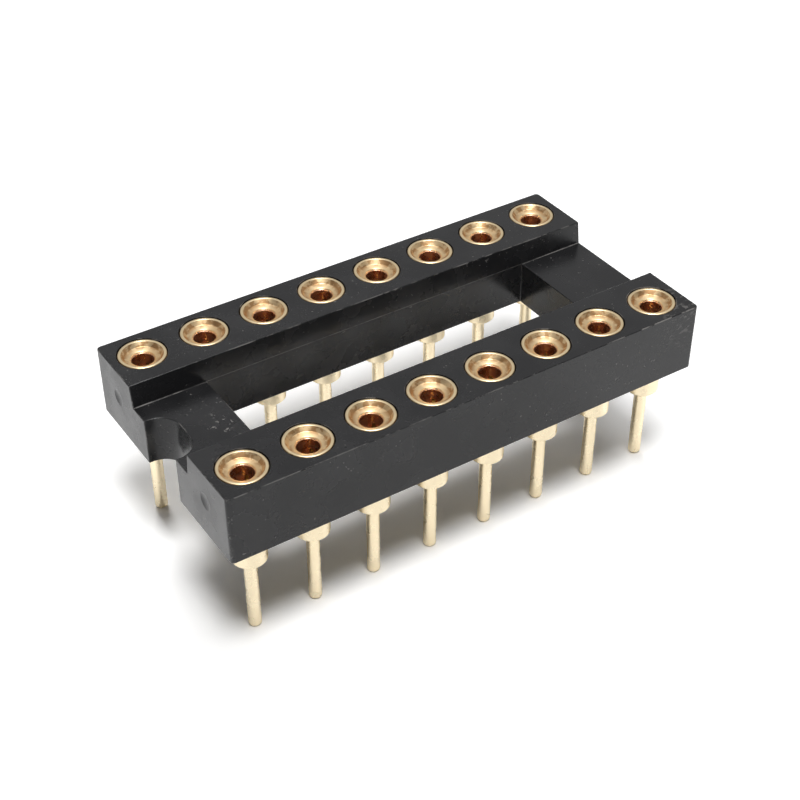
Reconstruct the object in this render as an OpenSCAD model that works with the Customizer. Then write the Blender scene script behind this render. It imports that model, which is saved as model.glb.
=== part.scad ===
// Open-frame dual in-line socket for an integrated circuit: a moulded insulator that
// carries two rows of turned contact sleeves, each with a fingered spring clip inside.
// Frame: origin midway between the rows on the plane of the tail tips, X along the rows
// with the index notch at the low end, Y across the rows, Z up. Lengths in millimetres.

/* [Contact grid] */
// Contacts in each row
contacts_per_row = 8; // [4:1:14]
// Distance from one contact to the next along a row
pitch = 2.54; // [2.3:0.01:3]
// Distance between the axes of the two rows
row_spacing = 7.62; // [7:0.01:15.24]

/* [Insulator] */
// Height of the rails
rail_h = 2.85; // [2.2:0.05:3.6]
// Width of each rail at its top face
rail_w = 2.83; // [2.4:0.01:3.2]
// From the axis of a row to the outer wall of its rail
side_margin = 1.27; // [1.15:0.01:1.4]
// From the axis of the last contact to the end face
end_margin = 1.27; // [1.15:0.01:1.8]
// Length of each end bridge, along the rows
bridge_l = 2.96; // [2:0.02:3.8]
// Drop from the top of the rails to the top of the bridges, where the moulds part
bridge_drop = 0.92; // [0.5:0.02:1.4]
// How far an inner rail wall leans in, from its top edge to the parting line
upper_draft = 0.13; // [0:0.01:0.25]
// How far the opening's walls lean back, from the parting line to the underside
lower_draft = 0.08; // [0:0.01:0.25]
// Width of the index notch, across the rows
notch_w = 2.46; // [2:0.02:3]
// Depth of the index notch, along the rows
notch_l = 1; // [0.95:0.05:1.6]
// Radius of the index notch's inner corners
notch_r = 0.85; // [0.3:0.05:0.95]
// Radius of the upright outer corners
corner_r = 0.16; // [0.1:0.01:0.4]
// Width of the broken edges around the top and the underside
edge_break = 0.07; // [0.03:0.01:0.15]
// Diameter of the gate dimple in the notched end of each rail
gate_d = 0.7; // [0.3:0.05:1.2]
// Depth of the gate dimple
gate_depth = 0.05; // [0.02:0.01:0.1]
// Height of the gate dimple above the underside
gate_z = 1.6; // [0.8:0.05:1.8]
// From the axis of a row in to the gate dimple
gate_in = 0.4; // [0:0.05:0.8]
// Chamfer at the lower mouth of each contact hole
hole_break = 0.08; // [0.03:0.01:0.15]

/* [Turned sleeve] */
// Length of a sleeve, from the head to the tip of the tail
sleeve_l = 7.43; // [6:0.01:12]
// Length from the head's top face to the seat on the board
seat_l = 4.2; // [3.8:0.01:5]
// Diameter of the head
head_d = 1.83; // [1.7:0.01:2]
// Thickness of the head
head_h = 0.4; // [0.25:0.01:0.7]
// Rounding of the head's rim
head_round = 0.05; // [0.02:0.01:0.1]
// Diameter of the lead-in funnel at the head's top face
funnel_d = 1.6; // [1.3:0.01:1.65]
// Depth of the lead-in funnel
funnel_h = 0.16; // [0.12:0.01:0.3]
// Diameter where the funnel's steep wall meets its shallow floor
funnel_floor_d = 1.46; // [1.2:0.01:1.55]
// Depth of the funnel's steep wall
funnel_wall_h = 0.1; // [0.04:0.01:0.11]
// Diameter of the stem and of the shoulder under the insulator
stem_d = 1.32; // [1.2:0.01:1.36]
// Diameter over the retention barb
barb_d = 1.42; // [1.38:0.01:1.5]
// Length of the barb's taper
barb_l = 0.45; // [0.2:0.05:0.8]
// From the underside of the head to the top of the barb
barb_drop = 0.5; // [0.2:0.05:0.8]
// Depth of the pocket for the clip, from the head's top face to its drilled point
pocket_l = 3.4; // [3:0.05:3.6]
// Included angle of the drilled point
drill_angle = 118; // [90:1:140]
// Chamfer around the foot of the shoulder
foot_break = 0.1; // [0.04:0.01:0.2]
// Diameter of the solder tail
tail_d = 0.51; // [0.4:0.01:0.7]
// Radius of the rounding at the tip of the tail
tip_round = 0.15; // [0.05:0.01:0.19]

/* [Spring clip] */
// Diameter of the clip's mouth
mouth_d = 0.84; // [0.7:0.01:0.88]
// Thickness of the clip's strip
clip_t = 0.07; // [0.05:0.01:0.1]
// Length of the clip
clip_l = 2.3; // [1.8:0.05:2.6]
// Depth of the clip's rolled lip under the foot of the funnel
lip_drop = 0.02; // [0:0.01:0.1]
// Length of the closed collar under the lip
collar_l = 0.6; // [0.3:0.05:0.9]
// From the top of the clip to the waist that grips the lead
waist_drop = 1.85; // [1.4:0.05:2.1]
// Opening between the fingers at the waist
waist_d = 0.4; // [0.3:0.01:0.45]
// Opening between the fingers at their tips
tips_d = 0.5; // [0.46:0.01:0.6]
// Fingers in each clip
fingers = 4; // [3:1:6]
// Width of the slots between the fingers
slot_w = 0.14; // [0.08:0.01:0.18]

/* [Clearances] */
// Around the head, in its counterbore
head_clear = 0.04; // [0.01:0.01:0.08]
// Around the barb, in the contact hole
barb_clear = 0.01; // [0.005:0.005:0.03]
// Under the head, in its counterbore
seat_clear = 0.01; // [0:0.005:0.05]
// Around the clip, in the sleeve's pocket
clip_clear = 0.01; // [0.005:0.005:0.02]

/* [Hidden] */
contacts = 2 * contacts_per_row;

rows_l = (contacts_per_row - 1) * pitch;
body_l = rows_l + 2 * end_margin;
body_w = row_spacing + 2 * side_margin;
top_z = sleeve_l;
under_z = top_z - rail_h;
bridge_z = top_z - bridge_drop;

// Half widths of the opening between the rails, at the three levels of its walls
inner_top_y = body_w / 2 - rail_w;
inner_part_y = inner_top_y - upper_draft;
inner_foot_y = inner_part_y + lower_draft;
// Half lengths of the opening between the bridges
opening_part_x = body_l / 2 - bridge_l;
opening_foot_x = opening_part_x + lower_draft;

gate_y = row_spacing / 2 - gate_in;

stem_r = stem_d / 2;
clip_r = mouth_d / 2 + clip_t;
pocket_r = clip_r + clip_clear;
pocket_flat_l = pocket_l - pocket_r / tan(drill_angle / 2);
hole_r = barb_d / 2 + barb_clear;
counterbore_r = head_d / 2 + head_clear;
counterbore_h = head_h + seat_clear;
clip_top = -funnel_h - lip_drop;

fine = 96;
arc_steps = 8;
past = 1;

// Points of an arc, from one angle to another, both ends included
function arc(centre, radius, from, to) = [
    for (i = [0:arc_steps])
        let (a = from + (to - from) * i / arc_steps)
            [centre[0] + radius * cos(a), centre[1] + radius * sin(a)]
];

// Axis of contact k: along the front row from the notch, then back along the rear row
function contact_x(k) =
    (k <= contacts_per_row ? k - 1 : contacts - k) * pitch - rows_l / 2;
function contact_y(k) = (k <= contacts_per_row ? -1 : 1) * row_spacing / 2;

module at_contact(k) {
    translate([contact_x(k), contact_y(k), top_z]) children();
}

// Stands a profile drawn in Y and Z across the rails, centred along X
module along_x(length) {
    translate([-length / 2, 0, 0])
        rotate([90, 0, 90])
            linear_extrude(length) children();
}

// Stands a profile drawn in X and Z across the bridges, centred along Y
module along_y(length) {
    translate([0, length / 2, 0])
        rotate([90, 0, 0])
            linear_extrude(length) children();
}

// Section of the rail on the +Y side: broken edges, and an inner wall with draft both ways
module rail_section() {
    e = edge_break;
    outer_y = body_w / 2;
    polygon([
        [inner_foot_y, under_z],
        [outer_y - e, under_z],
        [outer_y, under_z + e],
        [outer_y, top_z - e],
        [outer_y - e, top_z],
        [inner_top_y + e, top_z],
        [inner_top_y, top_z - e],
        [inner_part_y, bridge_z]
    ]);
}

// Section of the bridge at the +X end, drafted towards the opening
module bridge_section() {
    polygon([
        [opening_foot_x, under_z],
        [body_l / 2 + past, under_z],
        [body_l / 2 + past, bridge_z],
        [opening_part_x + edge_break, bridge_z],
        [opening_part_x, bridge_z - edge_break]
    ]);
}

// Side view of the ends, which trims the rails and bridges to broken end edges
module end_section() {
    e = edge_break;
    polygon([
        for (s = [-1, 1]) each [
            [s * (body_l / 2 - e), s > 0 ? top_z : under_z],
            [s * body_l / 2, s > 0 ? top_z - e : under_z + e],
            [s * body_l / 2, s > 0 ? under_z + e : top_z - e],
            [s * (body_l / 2 - e), s > 0 ? under_z : top_z]
        ]
    ]);
}

// Plan of the index notch: a slot from the end face with well rounded inner corners
module notch_plan() {
    for (across = [0, 1])
        translate([-body_l / 2 - past, -notch_w / 2 + across * notch_r])
            square([past + notch_l - (1 - across) * notch_r, notch_w - 2 * across * notch_r]);
    for (s = [-1, 1])
        translate([notch_l - notch_r - body_l / 2, s * (notch_w / 2 - notch_r)])
            circle(notch_r, $fn = fine);
}

// Plan of the body, with round corners and the index notch
module body_plan() {
    difference() {
        union() {
            square([body_l - 2 * corner_r, body_w], center = true);
            square([body_l, body_w - 2 * corner_r], center = true);
            for (sx = [-1, 1], sy = [-1, 1])
                translate([sx * (body_l / 2 - corner_r), sy * (body_w / 2 - corner_r)])
                    circle(corner_r, $fn = fine);
        }
        notch_plan();
    }
}

// Stepped hole for a sleeve: counterbore for the head, then the press hole
module contact_hole() {
    rotate_extrude($fn = fine)
        polygon([
            [0, past],
            [counterbore_r, past],
            [counterbore_r, -counterbore_h],
            [hole_r, -counterbore_h],
            [hole_r, hole_break - rail_h],
            [hole_r + hole_break + past, -rail_h - past],
            [0, -rail_h - past]
        ]);
}

// Shallow dish where the moulding gate was broken off
module gate_dimple() {
    dish_r = (gate_d * gate_d / 4 + gate_depth * gate_depth) / (2 * gate_depth);
    translate([gate_depth - dish_r, 0, 0]) sphere(dish_r, $fn = fine);
}

module insulator() {
    color([0.16, 0.16, 0.17])
        difference() {
            intersection() {
                union() {
                    along_x(body_l) rail_section();
                    mirror([0, 1, 0]) along_x(body_l) rail_section();
                    for (end = [0, 1])
                        mirror([end, 0, 0])
                            along_y(2 * inner_top_y + edge_break) bridge_section();
                }
                along_y(body_w + past) end_section();
                translate([0, 0, under_z - past])
                    linear_extrude(rail_h + 2 * past) body_plan();
            }
            for (k = [1:contacts]) at_contact(k) contact_hole();
            for (side = [-1, 1])
                translate([-body_l / 2, side * gate_y, under_z + gate_z])
                    gate_dimple();
        }
}

// Turned outline of a sleeve, z = 0 at the head's top face
module sleeve_section() {
    head_r = head_d / 2;
    tail_r = tail_d / 2;
    barb_top = -head_h - barb_drop;
    polygon(concat(
        [
            [pocket_r, -funnel_h],
            [funnel_floor_d / 2, -funnel_wall_h],
            [funnel_d / 2, 0]
        ],
        arc([head_r - head_round, -head_round], head_round, 90, 0),
        [
            [head_r, -head_h],
            [stem_r, -head_h],
            [stem_r, barb_top],
            [barb_d / 2, barb_top],
            [stem_r, barb_top - barb_l],
            [stem_r, foot_break - seat_l],
            [stem_r - foot_break, -seat_l],
            [tail_r, -seat_l]
        ],
        arc([tail_r - tip_round, tip_round - sleeve_l], tip_round, 0, -90),
        [
            [0, -sleeve_l],
            [0, -pocket_l],
            [pocket_r, -pocket_flat_l]
        ]
    ));
}

module sleeve(k) {
    color([0.85, 0.66, 0.32])
        at_contact(k) rotate_extrude($fn = fine) sleeve_section();
}

// Formed outline of a clip: rolled lip, collar, fingers down to the waist, flared tips
module clip_section() {
    roll = clip_t / 2;
    mouth_r = mouth_d / 2;
    collar_z = -collar_l;
    translate([0, clip_top])
        polygon(concat(
            arc([mouth_r + roll, -roll], roll, 180, 0),
            [
                [clip_r, collar_z],
                [waist_d / 2 + clip_t, -waist_drop],
                [tips_d / 2 + clip_t, -clip_l],
                [tips_d / 2, -clip_l],
                [waist_d / 2, -waist_drop],
                [mouth_r, collar_z]
            ]
        ));
}

// Slots that part the fingers, from the foot of the collar down
module clip_slots() {
    for (i = [0:fingers - 1])
        rotate([0, 0, 360 * (i + 0.5) / fingers])
            translate([0, -slot_w / 2, clip_top - clip_l - past])
                cube([clip_r + past, slot_w, clip_l - collar_l + past]);
}

module clip(k) {
    color([0.78, 0.52, 0.26])
        at_contact(k)
            difference() {
                rotate_extrude($fn = fine) clip_section();
                clip_slots();
            }
}

insulator();
for (k = [1:contacts]) {
    sleeve(k);
    clip(k);
}
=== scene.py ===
"""Fine visual model of a sixteen-way open-frame socket for an integrated circuit.

A black moulded insulator carries two rows of gold-plated turned sleeves, and each
sleeve holds a four-fingered spring clip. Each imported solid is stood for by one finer
piece in the same place. Sizes in the classes are millimetres, apart from the lamps' and
the table's, which are metres, as the meshes are.
"""

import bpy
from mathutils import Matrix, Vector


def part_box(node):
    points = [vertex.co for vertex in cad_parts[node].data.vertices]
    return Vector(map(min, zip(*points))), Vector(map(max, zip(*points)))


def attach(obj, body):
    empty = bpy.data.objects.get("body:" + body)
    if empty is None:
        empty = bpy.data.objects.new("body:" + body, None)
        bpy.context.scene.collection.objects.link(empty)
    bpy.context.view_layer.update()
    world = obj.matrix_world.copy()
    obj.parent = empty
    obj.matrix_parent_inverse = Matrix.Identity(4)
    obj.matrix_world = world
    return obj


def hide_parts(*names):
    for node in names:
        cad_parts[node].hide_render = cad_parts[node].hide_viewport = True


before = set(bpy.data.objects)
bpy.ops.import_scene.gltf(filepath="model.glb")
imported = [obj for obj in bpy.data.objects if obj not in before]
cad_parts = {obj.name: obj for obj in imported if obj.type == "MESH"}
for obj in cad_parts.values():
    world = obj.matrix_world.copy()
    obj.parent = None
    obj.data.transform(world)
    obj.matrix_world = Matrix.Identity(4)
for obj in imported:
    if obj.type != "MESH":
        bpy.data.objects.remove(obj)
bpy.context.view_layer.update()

import logging
import math
from dataclasses import dataclass, field
from enum import Enum

import bpy
import numpy as np
from mathutils import Matrix, Vector
from numpy.typing import NDArray

LOG = logging.getLogger("socket")
MM = 0.001
BODY = "root"
SAME_DIGITS = 5
FLAT_WEIGHT = 100

Points = NDArray[np.float64]
Faces = NDArray[np.int64]
Colour = tuple[float, float, float]
Spot = tuple[float, float, float]
Span = tuple[float, float]


class Slot(Enum):
    """The material slots of the part."""

    INSULATOR = "insulator"
    SLEEVE = "sleeve_plating"
    CLIP = "clip_plating"


class Side(Enum):
    """The two sides of a centre line, by sign."""

    LOW = -1
    HIGH = 1


# ---------------------------------------------------------------- surfaces


def fillet(corners: Points, radii: Points, steps: int) -> Points:
    """Round the corners of an open line.

    With u and v the unit vectors from a corner to its neighbours and h half the angle
    between them, the arc's centre lies radius / sin h along u + v, and it touches the
    line radius / tan h from the corner. The arc turns evenly between those points.

    Args:
        corners: The line's points, one row each.
        radii: The rounding at each point, zero for a sharp corner; the two end points
            stay sharp.
        steps: Segments in each arc.

    Returns:
        The points of the rounded line.
    """
    here, back, on = corners[1:-1], corners[:-2], corners[2:]
    u = (back - here) / np.linalg.norm(back - here, axis=1, keepdims=True)
    v = (on - here) / np.linalg.norm(on - here, axis=1, keepdims=True)
    half = np.arccos(np.clip((u * v).sum(1), -1, 1))[:, None] / 2
    radius = radii[1:-1, None]
    middle = (u + v) / np.linalg.norm(u + v, axis=1, keepdims=True)
    centre = here + middle * radius / np.sin(half)
    start = here + u * radius / np.tan(half) - centre
    stop = here + v * radius / np.tan(half) - centre
    turn = np.pi - 2 * half
    t = np.linspace(0, 1, steps + 1)[None, :]
    blend_start = np.sin((1 - t) * turn) / np.sin(turn)
    blend_stop = np.sin(t * turn) / np.sin(turn)
    arms = blend_start[..., None] * start[:, None] + blend_stop[..., None] * stop[:, None]
    arcs = centre[:, None] + arms
    return np.vstack([corners[:1], arcs.reshape(-1, 2), corners[-1:]])


def grid_faces(rows: int, columns: int, closed_rows: bool) -> Faces:
    """Quads of a grid whose columns close on themselves.

    Args:
        rows: Points along the first parameter.
        columns: Points along the second parameter, which closes.
        closed_rows: Whether the first parameter closes too.

    Returns:
        Four vertex numbers for each quad.
    """
    i = np.arange(rows if closed_rows else rows - 1)[:, None]
    j = np.arange(columns)[None, :]
    i_next, j_next = (i + 1) % rows, (j + 1) % columns
    quad = [i * columns + j, i * columns + j_next, i_next * columns + j_next, i_next * columns + j]
    return np.stack([np.broadcast_to(q, (len(i), columns)) for q in quad], -1).reshape(-1, 4)


def revolve(profile: Points, segments: int, closed: bool = False) -> tuple[Points, Faces]:
    """Carry a profile round the Z axis.

    A profile point at radius r and height z goes to (r cos a, r sin a, z), with the
    angle a in equal steps from zero. The faces point outwards when the profile rises
    along the outside of the solid.

    Args:
        profile: Radius and height of each point, up the outside and down the inside.
        segments: Steps in a full turn.
        closed: Whether the profile's last point joins its first.

    Returns:
        The vertices and the quads.
    """
    angle = np.linspace(0, 2 * np.pi, segments, endpoint=False)[None, :]
    r, z = profile[:, :1], profile[:, 1:]
    vertices = np.stack([r * np.cos(angle), r * np.sin(angle), z + 0 * angle], -1)
    return vertices.reshape(-1, 3), grid_faces(len(profile), segments, closed)


def loft(outlines: Points) -> tuple[Points, Faces]:
    """Join equal outlines, one above another, into a closed solid.

    The surface runs straight from each outline to the next, and a face closes each end.

    Args:
        outlines: Shape (levels, points, 3), each outline counter-clockwise from above,
            lowest first.

    Returns:
        The vertices and the side quads; the end faces are added by solid().
    """
    levels, count = outlines.shape[:2]
    return outlines.reshape(-1, 3), grid_faces(levels, count, False)


def solid(name: str, vertices: Points, faces: Faces, caps: int = 0) -> bpy.types.Object:
    """Make an object of a closed surface, in metres.

    Points that agree to SAME_DIGITS decimals of a millimetre are made one, which closes
    seams and poles, and a quad with two points at one place becomes a triangle.

    Args:
        name: The object's name.
        vertices: Points in millimetres.
        faces: Quads.
        caps: Points in the first and in the last outline, when both ends are closed.

    Returns:
        The new object, linked to the scene.
    """
    places = np.round(vertices, SAME_DIGITS)
    _, first, same = np.unique(places, axis=0, return_index=True, return_inverse=True)
    quads = same.reshape(-1)[faces]
    keep = quads != np.roll(quads, 1, axis=1)
    polygons = [tuple(q[k]) for q, k in zip(quads, keep) if k.sum() > 2]
    if caps:
        ring = same.reshape(-1)
        polygons += [tuple(ring[:caps][::-1]), tuple(ring[-caps:])]
    mesh = bpy.data.meshes.new(name)
    mesh.from_pydata(vertices[first] * MM, [], polygons, shade_flat=False)
    mesh.validate()
    piece = bpy.data.objects.new(name, mesh)
    bpy.context.scene.collection.objects.link(piece)
    return piece


def settle(piece: bpy.types.Object) -> None:
    """Put what the piece's modifiers make into its own mesh."""
    graph = bpy.context.evaluated_depsgraph_get()
    made = bpy.data.meshes.new_from_object(
        piece.evaluated_get(graph), preserve_all_data_layers=True, depsgraph=graph
    )
    piece.modifiers.clear()
    piece.data = made


def carve(blank: bpy.types.Object, cutters: list[bpy.types.Object]) -> None:
    """Cut each cutter out of the blank in turn, and remove the cutters."""
    for cutter in cutters:
        cut = blank.modifiers.new("cut", "BOOLEAN")
        cut.operation, cut.solver, cut.object = "DIFFERENCE", "EXACT", cutter
    settle(blank)
    for cutter in cutters:
        bpy.data.objects.remove(cutter)


def read(items: bpy.types.bpy_prop_collection, name: str, width: int = 1, kind: type = float) -> NDArray:
    """Read one property of all of a mesh's items as an array."""
    values = np.zeros(len(items) * width, kind)
    items.foreach_get(name, values)
    return values.reshape(-1, width) if width > 1 else values


def edge_turns(mesh: bpy.types.Mesh) -> NDArray:
    """Angle in degrees between the two faces at each edge of a closed mesh."""
    normals = read(mesh.polygons, "normal", 3)
    owner = np.repeat(np.arange(len(mesh.polygons)), read(mesh.polygons, "loop_total", kind=int))
    pairs = owner[np.argsort(read(mesh.loops, "edge_index", kind=int), kind="stable")].reshape(-1, 2)
    cosine = (normals[pairs[:, 0]] * normals[pairs[:, 1]]).sum(1)
    return np.degrees(np.arccos(np.clip(cosine, -1, 1)))


def even_flats(piece: bpy.types.Object) -> None:
    """Shade flats as flat and let only the roundings between them turn."""
    flats = piece.modifiers.new("flats", "WEIGHTED_NORMAL")
    flats.mode, flats.weight, flats.keep_sharp = "FACE_AREA", FLAT_WEIGHT, True
    settle(piece)


# ---------------------------------------------------------------- finishes


@dataclass(frozen=True)
class Blots:
    """Noise cut to blots.

    Size is the lumps' size in millimetres, detail and roughness are the noise's own, and
    start and full are the noise values where a blot sets in and where it is full.
    """

    size: float
    detail: float
    roughness: float
    start: float
    full: float


class Nodes:
    """A node tree under construction, with short calls for the nodes used here."""

    def __init__(self, tree: bpy.types.NodeTree) -> None:
        """Start from an empty tree."""
        tree.nodes.clear()
        self.tree = tree

    def add(self, kind: str, inputs: dict | None = None, **settings: object) -> bpy.types.Node:
        """Add a node.

        Args:
            kind: The node's type.
            inputs: For each input, a socket to link from or a value to set.
            settings: The node's own properties.

        Returns:
            The node.
        """
        node = self.tree.nodes.new(kind)
        for name, value in settings.items():
            setattr(node, name, value)
        for key, value in (inputs or {}).items():
            if isinstance(value, bpy.types.NodeSocket):
                self.tree.links.new(value, node.inputs[key])
            else:
                node.inputs[key].default_value = value
        return node

    def math(self, operation: str, *values: object) -> bpy.types.NodeSocket:
        """Combine sockets or numbers with one Math node."""
        node = self.add("ShaderNodeMath", dict(enumerate(values)), operation=operation)
        return node.outputs[0]

    def ramp(
        self, value: object, low: float, high: float, a: float = 0.0, b: float = 1.0
    ) -> bpy.types.NodeSocket:
        """Map low to a and high to b with a smooth step, and hold outside them."""
        node = self.add(
            "ShaderNodeMapRange",
            {"Value": value, "From Min": low, "From Max": high, "To Min": a, "To Max": b},
            interpolation_type="SMOOTHSTEP",
        )
        return node.outputs["Result"]

    def noise(
        self, place: object, size: float, detail: float = 3.0, roughness: float = 0.5
    ) -> bpy.types.NodeSocket:
        """Noise whose lumps are about size millimetres across."""
        inputs = {"Vector": place, "Scale": 1 / (size * MM), "Detail": detail, "Roughness": roughness}
        return self.add("ShaderNodeTexNoise", inputs).outputs["Fac"]

    def blots(
        self, place: object, pattern: Blots, least: float = 0.0, most: float = 1.0
    ) -> bpy.types.NodeSocket:
        """Noise cut to soft blots, which run from least between them to most inside."""
        lumps = self.noise(place, pattern.size, pattern.detail, pattern.roughness)
        return self.ramp(lumps, pattern.start, pattern.full, least, most)

    def near(self, place: object, spot: Spot, reach: Span, most: float = 1.0) -> bpy.types.NodeSocket:
        """Rise from zero to most as the distance from a spot falls from reach's first to its second."""
        there = tuple(c * MM for c in spot)
        away = self.add("ShaderNodeVectorMath", {0: place, 1: there}, operation="DISTANCE")
        return self.ramp(away.outputs["Value"], reach[0] * MM, reach[1] * MM, 0.0, most)

    def mix(self, factor: object, a: object, b: object) -> bpy.types.NodeSocket:
        """Mix two colours."""
        node = self.add("ShaderNodeMix", data_type="RGBA")
        for name, value in (("Factor", factor), ("A", a), ("B", b)):
            socket = next(s for s in node.inputs if s.name == name and s.enabled)
            if isinstance(value, bpy.types.NodeSocket):
                self.tree.links.new(value, socket)
            else:
                socket.default_value = value if name == "Factor" else (*value, 1.0)
        return next(s for s in node.outputs if s.enabled)


@dataclass(frozen=True)
class MouldedPlastic:
    """Black glass-filled plastic, satin from the mould, pale on its edges: partly scuffs, and partly a
    painted highlight where the rounded edges would catch the light.

    Reaches are distances from a spot, in millimetres, where its marks start and are full.
    The parting line, a painted highlight, takes pairs read the same way: its half height, and how far
    from the inner wall it shows, inwards to the middle and outwards into the rail.
    """

    colour: Colour = (0.014, 0.014, 0.015)
    bloom: Colour = (0.020, 0.020, 0.021)
    # Pale tone of specks, scratches, chips and scuffed edges, and also of the painted highlights along
    # the edges and the parting line.
    scuff_and_highlight_tone: Colour = (0.22, 0.21, 0.20)
    roughness: Span = (0.20, 0.32)
    scuff_roughness: float = 0.2
    ior: float = 1.44
    grain: float = 0.06
    grain_height: float = 0.5
    swell_height: float = 1.5
    bump: float = 0.16
    bump_depth: float = 0.02
    bloom_clouds: Blots = Blots(2.2, 3, 0.5, 0.35, 0.7)
    satin: Blots = Blots(1.1, 4, 0.5, 0.3, 0.7)
    # Patches and amount of the pale edges, which are partly scuffs and partly painted highlight.
    edge_patches: Blots = Blots(0.7, 5, 0.6, 0.46, 0.62)
    scuffs_and_highlight: float = 0.9
    worn_corner: float = 2.2
    worn_reach: Span = (4.5, 1.0)
    scratches: Blots = Blots(0.14, 4, 0.65, 0.53, 0.62)
    scratch_draw: Spot = (0.4, 0.5, 1.0)
    scratch_reach: Span = (2.4, 0.5)
    scratch_most: float = 0.45
    specks: Blots = Blots(0.12, 1, 0.5, 0.72, 0.77)
    speck_clouds: Blots = Blots(2.2, 3, 0.5, 0.45, 0.6)
    speck_most: float = 0.6
    chips: Blots = Blots(0.22, 3, 0.6, 0.58, 0.65)
    chip_place: Span = (-8.0, -0.3)
    chip_reach: Span = (0.75, 0.3)
    # The parting line below is a painted highlight.
    parting_patches: Blots = Blots(0.7, 5, 0.6, 0.3, 0.6)
    parting_most: Span = (0.1, 0.45)
    parting_half: Span = (0.03, 0.012)
    parting_inside: Span = (-0.06, -0.02)
    parting_outside: Span = (0.18, 0.08)
    palest: float = 0.9

    def edges(self, n: Nodes, place: bpy.types.NodeSocket, corner: Spot) -> bpy.types.NodeSocket:
        """Pale along the edges, in patches: partly scuffs and partly a painted highlight, with more
        scuffing towards the rubbed corner.
        """
        # The edge mask is painted highlight and scuffs together.
        edge = n.add("ShaderNodeAttribute", attribute_name="edge_scuffs_and_highlight").outputs["Fac"]
        scuffs_and_highlight = n.math("MULTIPLY", edge, n.blots(place, self.edge_patches))
        corner_share = n.math("MULTIPLY", n.near(place, corner, self.worn_reach), self.worn_corner)
        return n.math("MULTIPLY", scuffs_and_highlight, n.math("ADD", self.scuffs_and_highlight, corner_share))

    def marks(
        self, n: Nodes, place: bpy.types.NodeSocket, corner: Spot, part_z: float
    ) -> bpy.types.NodeSocket:
        """Specks in the clouds, scratches round the rubbed corner, and chips on the bridge."""
        clouds = n.blots(place, self.speck_clouds, 0.0, self.speck_most)
        specks = n.math("MULTIPLY", n.blots(place, self.specks), clouds)
        drawn = n.add("ShaderNodeVectorMath", {0: place, 1: self.scratch_draw}, operation="MULTIPLY")
        scratches = n.blots(drawn.outputs["Vector"], self.scratches)
        near = n.near(place, corner, self.scratch_reach, self.scratch_most)
        rubbed = n.math("MULTIPLY", near, scratches)
        chipped = n.near(place, (*self.chip_place, part_z), self.chip_reach)
        chips = n.math("MULTIPLY", chipped, n.blots(place, self.chips))
        return n.math("ADD", n.math("ADD", specks, rubbed), chips)

    def parting(
        self, n: Nodes, place: bpy.types.NodeSocket, part_z: float, wall_y: float
    ) -> bpy.types.NodeSocket:
        """A painted highlight along the mould's parting line: a broken pale line along the inner walls of
        the rails, where the parting ridge would catch the light.
        """
        split = n.add("ShaderNodeSeparateXYZ", {"Vector": place}).outputs
        off = n.math("ABSOLUTE", n.math("SUBTRACT", split["Z"], part_z * MM))
        line = n.ramp(off, self.parting_half[0] * MM, self.parting_half[1] * MM)
        across = n.math("ABSOLUTE", split["Y"])
        for start, full in (self.parting_outside, self.parting_inside):
            line = n.math("MULTIPLY", line, n.ramp(across, (wall_y + start) * MM, (wall_y + full) * MM))
        return n.math("MULTIPLY", line, n.blots(place, self.parting_patches, *self.parting_most))

    def material(self, corner: Spot, part_z: float, wall_y: float) -> bpy.types.Material:
        """Build the material.

        Args:
            corner: The corner of the body that is rubbed most.
            part_z: Level of the mould's parting line.
            wall_y: How far from the middle the rails' inner walls lie at that level.

        Returns:
            The material, on Object coordinates and the piece's attribute for its pale edges, which are
            scuffs and painted highlight.
        """
        made = bpy.data.materials.new("moulded_black_plastic")
        made.use_nodes = True
        n = Nodes(made.node_tree)
        place = n.add("ShaderNodeTexCoord").outputs["Object"]
        pale = n.math("ADD", self.edges(n, place, corner), self.marks(n, place, corner, part_z))
        # Add the painted highlight along the parting line.
        pale = n.math("ADD", pale, self.parting(n, place, part_z, wall_y))
        pale = n.math("MINIMUM", pale, self.palest)
        colour = n.mix(n.blots(place, self.bloom_clouds), self.colour, self.bloom)
        # Painted highlights on the edges and the parting line share this pale tone with real specks,
        # scratches and chips.
        colour = n.mix(pale, colour, self.scuff_and_highlight_tone)
        rough = n.blots(place, self.satin, *self.roughness)
        rough = n.math("ADD", rough, n.math("MULTIPLY", pale, self.scuff_roughness))

        patches = self.edge_patches
        fine = n.math("MULTIPLY", n.noise(place, self.grain, 2), self.grain_height)
        swell = n.noise(place, patches.size, patches.detail, patches.roughness)
        height = n.math("ADD", fine, n.math("MULTIPLY", swell, self.swell_height))
        bump = n.add(
            "ShaderNodeBump", {"Height": height, "Strength": self.bump, "Distance": self.bump_depth * MM}
        )
        shader = n.add(
            "ShaderNodeBsdfPrincipled",
            {"Base Color": colour, "Roughness": rough, "IOR": self.ior, "Normal": bump.outputs["Normal"]},
        )
        n.add("ShaderNodeOutputMaterial", {"Surface": shader.outputs["BSDF"]})
        return made


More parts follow.
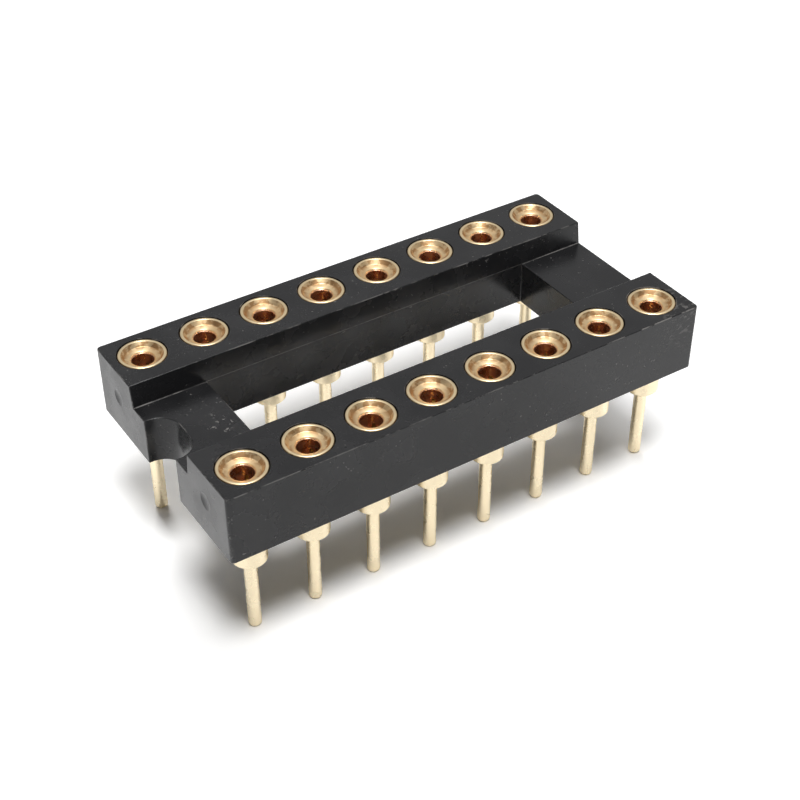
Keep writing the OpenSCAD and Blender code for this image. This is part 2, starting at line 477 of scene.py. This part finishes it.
@dataclass(frozen=True)
class GoldPlating:
    """Thin gold over turned or pressed metal, with fine tool rings along its profile.

    The colour changes with the depth below the head's face: a paler rim at the top, which is a painted
    highlight; darker blots on the funnel's wall, which are painted shade for the dark room it would
    reflect; and a paler tone on the tail, which is a painted sheen. Each depth pair says where a change
    starts and where it is full, in millimetres.
    """

    name: str
    colour: Colour
    shade: Colour
    # The tail's paler tone is a painted sheen, the rim's a painted highlight, and the funnel's darker
    # tone painted shade.
    tail: Colour
    rim: Colour
    painted_funnel_shade: Colour
    roughness: Span
    # Where the rim's painted highlight starts and is full.
    rim_depth: Span = (0.03, 0.01)
    # Where the funnel's painted shade starts and is full.
    funnel_shade_depth: Span = (0.23, 0.16)
    # Where the tail's painted sheen starts and is full.
    tail_depth: Span = (2.93, 3.33)
    matt_depth: Span = (0.33, 0.23)
    matt: float = 0.09
    mottle: Blots = Blots(0.9, 4, 0.5, 0.35, 0.72)
    # Blots of the funnel's painted shade, and its strength between and inside them.
    funnel_shade_blots: Blots = Blots(0.24, 3, 0.5, 0.42, 0.56)
    funnel_shade_share: Span = (0.15, 1.0)
    satin: Blots = Blots(0.3, 3, 0.5, 0.3, 0.7)
    ring: float = 0.09
    pit: float = 0.3
    pit_height: float = 0.5
    bump: float = 0.05
    bump_depth: float = 0.004

    def relief(
        self, n: Nodes, place: bpy.types.NodeSocket, along: bpy.types.NodeSocket
    ) -> bpy.types.NodeSocket:
        """Bumped normal: tool rings along the profile, and shallow pits."""
        turns = n.math("DIVIDE", along, self.ring)
        plain = {"W": turns, "Scale": 1.0, "Detail": 0.0}
        rings = n.add("ShaderNodeTexNoise", plain, noise_dimensions="1D")
        pits = n.math("MULTIPLY", n.noise(place, self.pit, 2), self.pit_height)
        height = n.math("ADD", rings.outputs["Fac"], pits)
        bump = n.add(
            "ShaderNodeBump", {"Height": height, "Strength": self.bump, "Distance": self.bump_depth * MM}
        )
        return bump.outputs["Normal"]

    def material(self, top: float) -> bpy.types.Material:
        """Build the material.

        Args:
            top: Level of the heads' faces, in millimetres.

        Returns:
            The material, on Object coordinates and the piece's UV map, whose v runs
            along the turned profile in millimetres.
        """
        made = bpy.data.materials.new(self.name)
        made.use_nodes = True
        n = Nodes(made.node_tree)
        coordinates = n.add("ShaderNodeTexCoord")
        place = coordinates.outputs["Object"]
        along = n.add("ShaderNodeSeparateXYZ", {"Vector": coordinates.outputs["UV"]}).outputs["Y"]
        level = n.add("ShaderNodeSeparateXYZ", {"Vector": place}).outputs["Z"]

        def between(depths: Span, most: float = 1.0) -> bpy.types.NodeSocket:
            """Rise from zero to most from the first depth to the second."""
            return n.ramp(level, (top - depths[0]) * MM, (top - depths[1]) * MM, 0.0, most)

        colour = n.mix(n.blots(place, self.mottle), self.colour, self.shade)
        # Painted sheen: a paler tone on the tail, standing in for its bright reflection of the table.
        colour = n.mix(between(self.tail_depth), colour, self.tail)
        # Painted shade: darker blots on the funnel's wall, standing in for the dark room that it would
        # reflect.
        funnel_shade_blots = n.blots(place, self.funnel_shade_blots, *self.funnel_shade_share)
        colour = n.mix(n.math("MULTIPLY", between(self.funnel_shade_depth), funnel_shade_blots), colour, self.painted_funnel_shade)
        # Painted highlight: a paler tone on the head's top rim.
        colour = n.mix(between(self.rim_depth), colour, self.rim)
        rough = n.blots(place, self.satin, *self.roughness)
        rough = n.math("ADD", rough, between(self.matt_depth, self.matt))
        normal = self.relief(n, place, along)
        shader = n.add(
            "ShaderNodeBsdfPrincipled",
            {"Base Color": colour, "Metallic": 1.0, "Roughness": rough, "Normal": normal},
        )
        n.add("ShaderNodeOutputMaterial", {"Surface": shader.outputs["BSDF"]})
        return made


def dress(piece: bpy.types.Object, material: bpy.types.Material, slot: Slot, *nodes: str) -> None:
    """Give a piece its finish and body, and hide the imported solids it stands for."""
    piece.data.materials.clear()
    piece.data.materials.append(material)
    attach(piece, BODY)
    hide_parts(*nodes)
    LOG.info("%s: %d faces", piece.name, len(piece.data.polygons))


# ---------------------------------------------------------------- the socket


@dataclass(frozen=True)
class Contact:
    """One place in the rows: the axis and the height of the head's top face."""

    number: int

    def top(self) -> Points:
        """Middle of the head's top face, in millimetres."""
        low, high = (np.array(corner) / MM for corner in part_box(f"sleeve_{self.number}"))
        return np.array([*((low + high) / 2)[:2], high[2]])


@dataclass
class Insulator:
    """The moulded frame: two rails, two lower bridges, a notch and the contact holes.

    Past and above are how far cutters run out of the block. Angles are in degrees: edges that turn more
    than sharp_turn are rounded, and those between soft_turn and that keep a crease. An edge within
    hole_reach of a contact's axis belongs to its hole, and takes the share hole_edge of the rounding. The
    pale edges, partly scuffs and partly painted highlight, set in where no direction of the body has a
    share above pale_edge_below in the normal, and are full pale_edge_span further.
    """

    contacts: list[Contact]
    finish: MouldedPlastic
    rail_w: float = 2.83
    bridge_l: float = 2.96
    bridge_drop: float = 0.92
    upper_draft: float = 0.13
    lower_draft: float = 0.08
    notch_w: float = 2.46
    notch_l: float = 1.0
    notch_r: float = 0.85
    corner_r: float = 0.16
    edge: float = 0.07
    counterbore_r: float = 0.955
    counterbore_h: float = 0.41
    hole_r: float = 0.72
    hole_break: float = 0.08
    hole_edge: float = 0.35
    gate_d: float = 0.7
    gate_depth: float = 0.05
    gate_y: float = 3.41
    gate_z: float = 1.6
    gate_sweep: float = 36.0
    gate_steps: int = 15
    notch_steps: int = 18
    edge_steps: int = 3
    segments: int = 72
    past: float = 1.0
    above: float = 0.3
    soft_turn: float = 6.0
    sharp_turn: float = 30.0
    hole_reach: float = 1.1
    pale_edge_below: float = 0.985
    pale_edge_span: float = 0.2
    wall_tilt: float = 0.5
    low: Points = field(init=False)
    high: Points = field(init=False)

    def __post_init__(self) -> None:
        """Take the body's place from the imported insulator."""
        self.low, self.high = (np.array(corner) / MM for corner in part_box("insulator"))

    def outline(self, half_x: float, half_y: float, radius: float, z: float, steps: int = 8) -> Points:
        """Rectangle with round corners at one level.

        Each corner's arc turns a quarter about a centre one radius in from both sides.

        Args:
            half_x: Half the length.
            half_y: Half the width.
            radius: Radius of the corners, or zero for plain ones.
            z: The level.
            steps: Segments in each corner.

        Returns:
            The points, counter-clockwise from above.
        """
        steps = steps if radius else 0
        quarter = np.array([0, 1, 2, 3])[:, None]
        turn = (quarter + np.linspace(0, 1, steps + 1)[None, :] * (steps > 0)) * np.pi / 2
        middle = (quarter + 0.5) * np.pi / 2
        x = np.sign(np.cos(middle)) * (half_x - radius) + radius * np.cos(turn)
        y = np.sign(np.sin(middle)) * (half_y - radius) + radius * np.sin(turn)
        return np.stack([x, y, np.full_like(x, z)], -1).reshape(-1, 3)

    def prism(self, name: str, levels: list[Points]) -> bpy.types.Object:
        """Closed solid through outlines at rising levels."""
        vertices, faces = loft(np.stack(levels))
        return solid(name, vertices, faces, caps=len(levels[0]))

    def channel(self) -> bpy.types.Object:
        """Cutter for the trough between the rails, whose walls lean in to the parting line."""
        y, z = self.high[1] - self.rail_w, self.high[2]
        slope = self.upper_draft / self.bridge_drop
        length = self.high[0] + self.past
        rise = self.past
        return self.prism(
            "channel",
            [
                self.outline(length, y - self.upper_draft, 0, z - self.bridge_drop),
                self.outline(length, y + slope * rise, 0, z + rise),
            ],
        )

    def opening(self) -> bpy.types.Object:
        """Cutter for the window between the bridges, drafted back to the underside."""
        part_z = self.high[2] - self.bridge_drop
        part_x = self.high[0] - self.bridge_l
        part_y = self.high[1] - self.rail_w - self.upper_draft
        slope = self.lower_draft / (part_z - self.low[2])
        up, down = self.above, part_z - self.low[2] + self.past
        return self.prism(
            "opening",
            [
                self.outline(part_x + slope * down, part_y + slope * down, 0, part_z - down),
                self.outline(part_x, part_y, 0, part_z),
                self.outline(part_x - slope * up, part_y - slope * up, 0, part_z + up),
            ],
        )

    def notch(self) -> bpy.types.Object:
        """Cutter for the index notch: a slot into the low end with round inner corners."""
        half_x = (self.notch_l + self.past) / 2
        centre = [self.low[0] + self.notch_l - half_x, 0, 0]
        levels = (self.low[2] - self.past, self.high[2] + self.past)
        half_y = self.notch_w / 2
        plans = [self.outline(half_x, half_y, self.notch_r, z, self.notch_steps) for z in levels]
        return self.prism("notch", [plan + centre for plan in plans])

    def hole(self, contact: Contact) -> tuple[Points, Faces]:
        """Stepped hole for one sleeve: the head's counterbore over the press hole."""
        foot = self.low[2] - self.high[2]
        profile = np.array(
            [
                [0, foot - self.past],
                [self.hole_r + self.hole_break + self.past, foot - self.past],
                [self.hole_r, foot + self.hole_break],
                [self.hole_r, -self.counterbore_h],
                [self.counterbore_r, -self.counterbore_h],
                [self.counterbore_r, self.past],
                [0, self.past],
            ]
        )
        vertices, faces = revolve(profile, self.segments)
        return vertices + contact.top(), faces

    def gate(self, side: Side) -> tuple[Points, Faces]:
        """Shallow round dish in the end face, a cap of a sphere turned to face the end."""
        rim = self.gate_d / 2
        dish_r = (rim**2 + self.gate_depth**2) / (2 * self.gate_depth)
        turn = np.radians(np.linspace(0, self.gate_sweep, self.gate_steps + 1))
        profile = np.stack([dish_r * np.sin(turn), self.gate_depth - dish_r + dish_r * np.cos(turn)], -1)
        profile = np.vstack([[0, profile[-1, 1]], profile[::-1]])
        vertices, faces = revolve(profile, self.segments)
        vertices = np.stack([vertices[:, 2], vertices[:, 0], vertices[:, 1]], -1)
        return vertices + [self.low[0], side.value * self.gate_y, self.low[2] + self.gate_z], faces

    def together(self, name: str, parts: list[tuple[Points, Faces]]) -> bpy.types.Object:
        """One object of several closed surfaces that don't touch."""
        starts = np.cumsum([0] + [len(v) for v, _ in parts[:-1]])
        vertices = np.vstack([v for v, _ in parts])
        return solid(name, vertices, np.vstack([f + s for (_, f), s in zip(parts, starts)]))

    def round_edges(self, piece: bpy.types.Object) -> None:
        """Break the outer edges fully and the holes' edges less, and leave soft turns sharp."""
        mesh = piece.data
        turn = edge_turns(mesh)
        ends = read(mesh.edges, "vertices", 2, int)
        middle = read(mesh.vertices, "co", 3)[ends].mean(1) / MM
        axes = np.array([c.top() for c in self.contacts])[:, :2]
        reach = np.linalg.norm(middle[:, None, :2] - axes[None], axis=2).min(1)
        share = np.where(reach < self.hole_reach, self.hole_edge, 1.0)
        weight = np.where(turn > self.sharp_turn, share, 0.0).astype(np.float32)
        mesh.attributes.new("bevel_weight_edge", "FLOAT", "EDGE").data.foreach_set("value", weight)
        soft = (turn > self.soft_turn) & (turn < self.sharp_turn)
        sharp = mesh.attributes.get("sharp_edge") or mesh.attributes.new("sharp_edge", "BOOLEAN", "EDGE")
        sharp.data.foreach_set("value", soft)
        bevel = piece.modifiers.new("edges", "BEVEL")
        bevel.limit_method, bevel.width, bevel.segments = "WEIGHT", self.edge * MM, self.edge_steps
        settle(piece)

    def mark_scuffs_and_highlight(self, mesh: bpy.types.Mesh) -> None:
        """Store how far each face corner's normal turns from the body's own directions, as the mask of
        the pale edges: partly scuffs, partly a painted highlight.

        The round wall of the notch is no edge, so it takes none of that mask.
        """
        normals = read(mesh.corner_normals, "vector", 3)
        squareness = np.abs(normals).max(1)
        # Painted highlight with scuffs, strongest where the normal leans furthest from the body's
        # directions.
        edge_paleness = np.clip((self.pale_edge_below - squareness) / self.pale_edge_span, 0, 1)
        spots = read(mesh.vertices, "co", 3)[read(mesh.loops, "vertex_index", kind=int)] / MM
        depth = spots[:, 0] - self.low[0]
        inside = (depth > self.edge) & (depth < self.notch_l + self.edge)
        inside &= np.abs(spots[:, 1]) < self.notch_w / 2
        edge_paleness[inside & (np.abs(normals[:, 2]) < self.wall_tilt)] = 0
        layer = mesh.attributes.new("edge_scuffs_and_highlight", "FLOAT", "CORNER")
        layer.data.foreach_set("value", edge_paleness.astype(np.float32))

    def build(self) -> bpy.types.Object:
        """Carve the frame from a block and dress it.

        Returns:
            The finished piece.
        """
        half = (self.high - self.low) / 2
        levels = (self.low[2], self.high[2])
        plans = [self.outline(half[0], half[1], self.corner_r, z) for z in levels]
        blank = self.prism("socket_frame", plans)
        carve(blank, [self.channel(), self.opening(), self.notch()])
        carve(blank, [self.together("holes", [self.hole(c) for c in self.contacts])])
        carve(blank, [self.together("gates", [self.gate(side) for side in Side])])
        self.round_edges(blank)
        even_flats(blank)
        # Mask of the pale edges: partly scuffs, partly painted highlight.
        self.mark_scuffs_and_highlight(blank.data)
        rubbed = (self.high[0], self.low[1], self.high[2])
        wall_y = self.high[1] - self.rail_w - self.upper_draft
        finish = self.finish.material(rubbed, self.high[2] - self.bridge_drop, wall_y)
        dress(blank, finish, Slot.INSULATOR, "insulator")
        return blank


@dataclass
class TurnedSleeve:
    """One screw-machined sleeve: head with a funnel, barbed stem, shoulder and tail."""

    length: float = 7.43
    seat: float = 4.2
    head_r: float = 0.915
    head_h: float = 0.4
    funnel_r: float = 0.8
    wall_r: float = 0.66
    wall_h: float = 0.17
    mouth_r: float = 0.44
    mouth_h: float = 0.24
    mouth_lip: float = 0.02
    stem_r: float = 0.66
    barb_r: float = 0.71
    barb_top: float = 0.9
    barb_l: float = 0.45
    pocket_r: float = 0.5
    pocket_l: float = 3.4
    drill_angle: float = 118.0
    foot_break: float = 0.1
    tail_r: float = 0.255
    tip_round: float = 0.15
    root_round: float = 0.05
    foot_round: float = 0.03
    stem_round: float = 0.04
    seat_round: float = 0.03
    head_round: float = 0.065
    funnel_round: float = 0.04
    wall_round: float = 0.05
    mouth_round: float = 0.06
    segments: int = 96
    steps: int = 5

    def profile(self) -> Points:
        """Rounded outline, from the tip up the outside, over the head and down to the drilled point.

        Returns:
            Radius and height below the head's top face, one row each point.
        """
        pocket_flat = self.pocket_l - self.pocket_r / math.tan(math.radians(self.drill_angle / 2))
        rows = [
            (0, -self.length, 0),
            (self.tail_r, -self.length, self.tip_round),
            (self.tail_r, -self.seat, self.root_round),
            (self.stem_r - self.foot_break, -self.seat, self.foot_round),
            (self.stem_r, self.foot_break - self.seat, self.stem_round),
            (self.stem_r, -self.barb_top - self.barb_l, 0),
            (self.barb_r, -self.barb_top, 0),
            (self.stem_r, -self.barb_top, 0),
            (self.stem_r, -self.head_h, 0),
            (self.head_r, -self.head_h, self.seat_round),
            (self.head_r, 0, self.head_round),
            (self.funnel_r, 0, self.funnel_round),
            (self.wall_r, -self.wall_h, self.wall_round),
            (self.mouth_r, -self.mouth_h, self.mouth_round),
            (self.mouth_r, -self.mouth_h - self.mouth_lip, 0),
            (self.pocket_r, -self.mouth_h - self.mouth_lip, 0),
            (self.pocket_r, -pocket_flat, 0),
            (0, -self.pocket_l, 0),
        ]
        table = np.array(rows, float)
        return fillet(table[:, :2], table[:, 2], self.steps)

    def build(self, contact: Contact, material: bpy.types.Material) -> bpy.types.Object:
        """Turn the sleeve at its place.

        Args:
            contact: Where it stands.
            material: Its plating.

        Returns:
            The finished piece.
        """
        vertices, faces = revolve(self.profile(), self.segments)
        piece = solid(f"turned_sleeve_{contact.number}", vertices + contact.top(), faces)
        finish_turned(piece, contact)
        dress(piece, material, Slot.SLEEVE, f"sleeve_{contact.number}")
        return piece


@dataclass
class SpringClip:
    """One pressed clip: rolled lip, closed collar, and fingers that lean in to a waist.

    Edges that turn more than crease, in degrees, are shaded sharp.
    """

    top: float = 0.285
    mouth_r: float = 0.42
    strip: float = 0.07
    length: float = 2.195
    collar: float = 0.45
    waist: float = 1.7
    waist_r: float = 0.2
    tips_r: float = 0.25
    lip_round: float = 0.034
    collar_round: float = 0.1
    waist_round: float = 0.3
    fingers: int = 4
    slot_w: float = 0.14
    crease: float = 40.0
    segments: int = 64
    steps: int = 4
    past: float = 1.0

    def profile(self) -> Points:
        """Closed rounded outline of the strip, up the outside and down the inside."""
        outer = self.strip
        rows = [
            (self.tips_r + outer, -self.length, 0),
            (self.waist_r + outer, -self.waist, self.waist_round),
            (self.mouth_r + outer, -self.collar, self.collar_round),
            (self.mouth_r + outer, 0, self.lip_round),
            (self.mouth_r, 0, self.lip_round),
            (self.mouth_r, -self.collar, self.collar_round + self.strip),
            (self.waist_r, -self.waist, self.waist_round - self.strip),
            (self.tips_r, -self.length, 0),
        ]
        table = np.array(rows, float)
        return fillet(table[:, :2], table[:, 2], self.steps)

    def slot(self, turn: float) -> bpy.types.Object:
        """Cutter for two opposite slots: a thin box through the axis, below the collar."""
        low, high = -self.length - self.past, -self.collar
        half = np.array([self.mouth_r + self.past, self.slot_w / 2])
        corners = np.array([[1, 1], [-1, 1], [-1, -1], [1, -1]]) * half
        c, s = math.cos(turn), math.sin(turn)
        flat = corners @ np.array([[c, s], [-s, c]])
        levels = np.stack([np.column_stack([flat, np.full(4, z)]) for z in (low, high)])
        vertices, faces = loft(levels)
        return solid("slot", vertices, faces, caps=4)

    def pattern(self) -> tuple[Points, list[list[int]]]:
        """One slotted clip about the origin: points in millimetres and faces."""
        vertices, faces = revolve(self.profile(), self.segments, closed=True)
        blank = solid("clip_pattern", vertices, faces)
        step = 2 * math.pi / self.fingers
        carve(blank, [self.slot((k + 0.5) * step) for k in range(self.fingers // 2)])
        mesh = blank.data
        points, polygons = read(mesh.vertices, "co", 3) / MM, [list(p.vertices) for p in mesh.polygons]
        bpy.data.objects.remove(blank)
        return points, polygons

    def build(
        self, contact: Contact, pattern: tuple[Points, list[list[int]]], material: bpy.types.Material
    ) -> bpy.types.Object:
        """Set a copy of the pattern at its place.

        Args:
            contact: Where it stands.
            pattern: What pattern() made.
            material: Its plating.

        Returns:
            The finished piece.
        """
        points, polygons = pattern
        name = f"spring_clip_{contact.number}"
        mesh = bpy.data.meshes.new(name)
        place = contact.top() - [0, 0, self.top]
        mesh.from_pydata((points + place) * MM, [], polygons, shade_flat=False)
        sharp = edge_turns(mesh) > self.crease
        mesh.attributes.new("sharp_edge", "BOOLEAN", "EDGE").data.foreach_set("value", sharp)
        piece = bpy.data.objects.new(name, mesh)
        bpy.context.scene.collection.objects.link(piece)
        finish_turned(piece, contact)
        dress(piece, material, Slot.CLIP, f"clip_{contact.number}")
        return piece


def finish_turned(piece: bpy.types.Object, contact: Contact) -> None:
    """Even a turned piece's flats and give it a UV map along its profile.

    The map's u is the angle round the axis as a share of a turn, and v is radius minus
    height in millimetres, which rises steadily over a flat and down a wall.

    Args:
        piece: The piece.
        contact: Its place, for the axis.
    """
    even_flats(piece)
    mesh = piece.data
    local = read(mesh.vertices, "co", 3) / MM - contact.top()
    radius = np.linalg.norm(local[:, :2], axis=1)
    u = np.arctan2(local[:, 1], local[:, 0]) / (2 * np.pi) + 0.5
    v = radius - local[:, 2]
    corner = read(mesh.loops, "vertex_index", kind=int)
    layer = mesh.uv_layers.new(name="UVMap")
    layer.data.foreach_set("uv", np.stack([u, v], -1)[corner].astype(np.float32).ravel())


# ---------------------------------------------------------------- the studio


@dataclass(frozen=True)
class Lamp:
    """A soft rectangular lamp aimed at the object's middle, with its width level.

    One that isn't in_gloss adds diffuse light only, and shows in no reflection.
    """

    name: str
    place: Spot
    width: float
    depth: float
    radiance: float
    in_gloss: bool = True

    def build(self) -> None:
        """Hang the lamp. Its power is pi times its area times its radiance."""
        data = bpy.data.lights.new(self.name, "AREA")
        data.shape, data.size, data.size_y = "RECTANGLE", self.width, self.depth
        data.energy = math.pi * self.width * self.depth * self.radiance
        lamp = bpy.data.objects.new(self.name, data)
        place = Vector(self.place)
        lamp.matrix_world = Matrix.Translation(place) @ place.to_track_quat("Z", "Y").to_matrix().to_4x4()
        lamp.visible_glossy = self.in_gloss
        bpy.context.scene.collection.objects.link(lamp)


@dataclass(frozen=True)
class Viewpoint:
    """The camera, held by the point it aims at and the direction it looks from."""

    azimuth: float = -33.078
    elevation: float = 37.934
    roll: float = -0.156
    aim: Spot = (-2.529, -3.691, 7.43)
    distance: float = 53.695
    lens: float = 68.83
    sensor: float = 36.0
    sight: Span = (1.0, 10000.0)

    def build(self) -> None:
        """Set the scene's camera."""
        a, e, r = (math.radians(v) for v in (self.azimuth, self.elevation, self.roll))
        back = Vector((math.sin(a) * math.cos(e), -math.cos(a) * math.cos(e), math.sin(e)))
        level = Vector((math.cos(a), math.sin(a), 0))
        upright = back.cross(level)
        right = level * math.cos(r) + upright * math.sin(r)
        up = upright * math.cos(r) - level * math.sin(r)
        data = bpy.data.cameras.new("camera")
        data.lens, data.sensor_width = self.lens, self.sensor
        data.clip_start, data.clip_end = (limit * MM for limit in self.sight)
        camera = bpy.data.objects.new("camera", data)
        place = (Vector(self.aim) + back * self.distance) * MM
        camera.matrix_world = Matrix.Translation(place) @ Matrix((right, up, back)).transposed().to_4x4()
        bpy.context.scene.collection.objects.link(camera)
        bpy.context.scene.camera = camera


@dataclass(frozen=True)
class Studio:
    """A pale table under soft light, in a room that is plain white to the camera.

    Three lamps light the table and the object: one high on the camera's side, whose
    shadow falls under the object, one behind and one at the right. What gloss sees is
    brightest overhead, pale behind the object and dim on the camera's side. All other
    light from the room is an even dim fill.
    """

    floor_colour: Colour = (0.88, 0.88, 0.88)
    floor_shift: float = 1.02
    floor_mottle: float = 20.0
    floor_gain: float = 1.40
    floor_gloss: float = 1.3
    reach: float = 0.18
    cells: int = 8
    overhead: float = 0.65
    overhead_from: Span = (0.75, 0.90)
    behind: float = 0.48
    behind_from: Span = (-0.25, 0.35)
    room: float = 0.16
    fill: float = 0.08
    camera_azimuth: float = -33.0
    lamps: tuple[Lamp, ...] = (
        Lamp("key", (-0.045, -0.122, 0.47), 0.15, 0.16, 23.0),
        Lamp("rear_box", (0.09, 0.33, 0.29), 0.16, 0.16, 10.5, False),
        Lamp("right_box", (0.27, -0.03, 0.12), 0.12, 0.12, 2.0, False),
    )

    def floor(self) -> None:
        """Lay the table top at the tail tips' level, whiter to the camera and to gloss."""
        material = bpy.data.materials.new("table_top")
        material.use_nodes = True
        n = Nodes(material.node_tree)
        place = n.add("ShaderNodeTexCoord").outputs["Object"]
        path = n.add("ShaderNodeLightPath").outputs
        gloss = n.math("MAXIMUM", path["Is Glossy Ray"], path["Is Transmission Ray"])
        paler = tuple(c * self.floor_shift for c in self.floor_colour)
        tone = n.mix(n.noise(place, self.floor_mottle), self.floor_colour, paler)
        gain = n.math("ADD", 1.0, n.math("MULTIPLY", path["Is Camera Ray"], self.floor_gain - 1))
        gain = n.math("ADD", gain, n.math("MULTIPLY", gloss, self.floor_gloss - 1))
        white = n.add("ShaderNodeVectorMath", {0: tone, 3: gain}, operation="SCALE").outputs["Vector"]
        matt = n.add("ShaderNodeBsdfDiffuse", {"Color": white})
        n.add("ShaderNodeOutputMaterial", {"Surface": matt.outputs[0]})
        side = self.cells + 1
        span = np.linspace(-self.reach, self.reach, side)
        x, y = np.meshgrid(span, span, indexing="ij")
        corner = np.arange(self.cells)[:, None] * side + np.arange(self.cells)[None, :]
        quads = np.stack([corner, corner + side, corner + side + 1, corner + 1], -1).reshape(-1, 4)
        mesh = bpy.data.meshes.new("table_top")
        mesh.from_pydata(np.stack([x, y, 0 * x], -1).reshape(-1, 3), [], quads.tolist())
        mesh.materials.append(material)
        table = bpy.data.objects.new("table_top", mesh)
        bpy.context.scene.collection.objects.link(table)

    def world(self) -> None:
        """Light the room, show gloss a room that differs by direction, and the camera plain white.

        With z the sine of the height above the horizon, the overhead light that gloss
        sees sets in smoothly over the span overhead_from of z. Below it the light goes
        from room to behind over the span behind_from of the direction's share that
        points away from the camera. Every other ray but the camera's sees the fill.
        """
        world = bpy.data.worlds.new("studio")
        world.use_nodes = True
        n = Nodes(world.node_tree)
        toward = n.add("ShaderNodeTexCoord").outputs["Generated"]
        height = n.add("ShaderNodeSeparateXYZ", {"Vector": toward}).outputs["Z"]
        a = math.radians(self.camera_azimuth)
        ahead = (-math.sin(a), math.cos(a), 0)
        away = n.add("ShaderNodeVectorMath", {0: toward, 1: ahead}, operation="DOT_PRODUCT")
        low = n.ramp(away.outputs["Value"], *self.behind_from, self.room, self.behind)
        top = n.ramp(height, *self.overhead_from)
        low = n.math("MULTIPLY", low, n.math("SUBTRACT", 1.0, top))
        light = n.math("ADD", low, n.math("MULTIPLY", top, self.overhead))
        path = n.add("ShaderNodeLightPath").outputs
        gloss = path["Is Glossy Ray"]
        fill = n.math("MULTIPLY", n.math("SUBTRACT", 1.0, gloss), self.fill)
        light = n.math("ADD", n.math("MULTIPLY", light, gloss), fill)
        strength = n.math("MAXIMUM", light, path["Is Camera Ray"])
        sky = n.add("ShaderNodeBackground", {"Color": (1, 1, 1, 1), "Strength": strength})
        n.add("ShaderNodeOutputWorld", {"Surface": sky.outputs[0]})
        bpy.context.scene.world = world

    def build(self) -> None:
        """Set the floor, the world and the lamps."""
        self.floor()
        self.world()
        for lamp in self.lamps:
            lamp.build()
        bpy.context.scene.view_settings.view_transform = "Standard"


def main() -> None:
    """Build the camera, the studio and the socket, piece by piece."""
    logging.basicConfig(level=logging.INFO, format="%(name)s %(message)s")
    Viewpoint().build()
    Studio().build()
    count = sum(name.startswith("sleeve_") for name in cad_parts)
    contacts = [Contact(k) for k in range(1, count + 1)]
    Insulator(contacts, MouldedPlastic()).build()
    top = contacts[0].top()[2]
    sleeve_plating = GoldPlating(
        name="sleeve_gold",
        colour=(0.96, 0.745, 0.45),
        shade=(0.88, 0.635, 0.35),
        # Paler tail and rim are painted sheen and highlight; the funnel's darker tone is painted shade.
        tail=(0.95, 0.82, 0.58),
        rim=(0.98, 0.79, 0.50),
        painted_funnel_shade=(0.58, 0.34, 0.16),
        roughness=(0.25, 0.37),
    ).material(top)
    clip_tone = (0.86, 0.58, 0.42)
    clip_plating = GoldPlating(
        name="clip_gold",
        colour=clip_tone,
        shade=(0.78, 0.50, 0.34),
        tail=clip_tone,
        rim=clip_tone,
        painted_funnel_shade=clip_tone,
        roughness=(0.2, 0.34),
    ).material(top)
    sleeve, clip = TurnedSleeve(), SpringClip()
    pattern = clip.pattern()
    for contact in contacts:
        sleeve.build(contact, sleeve_plating)
        clip.build(contact, pattern, clip_plating)


if __name__ == "__main__":
    main()
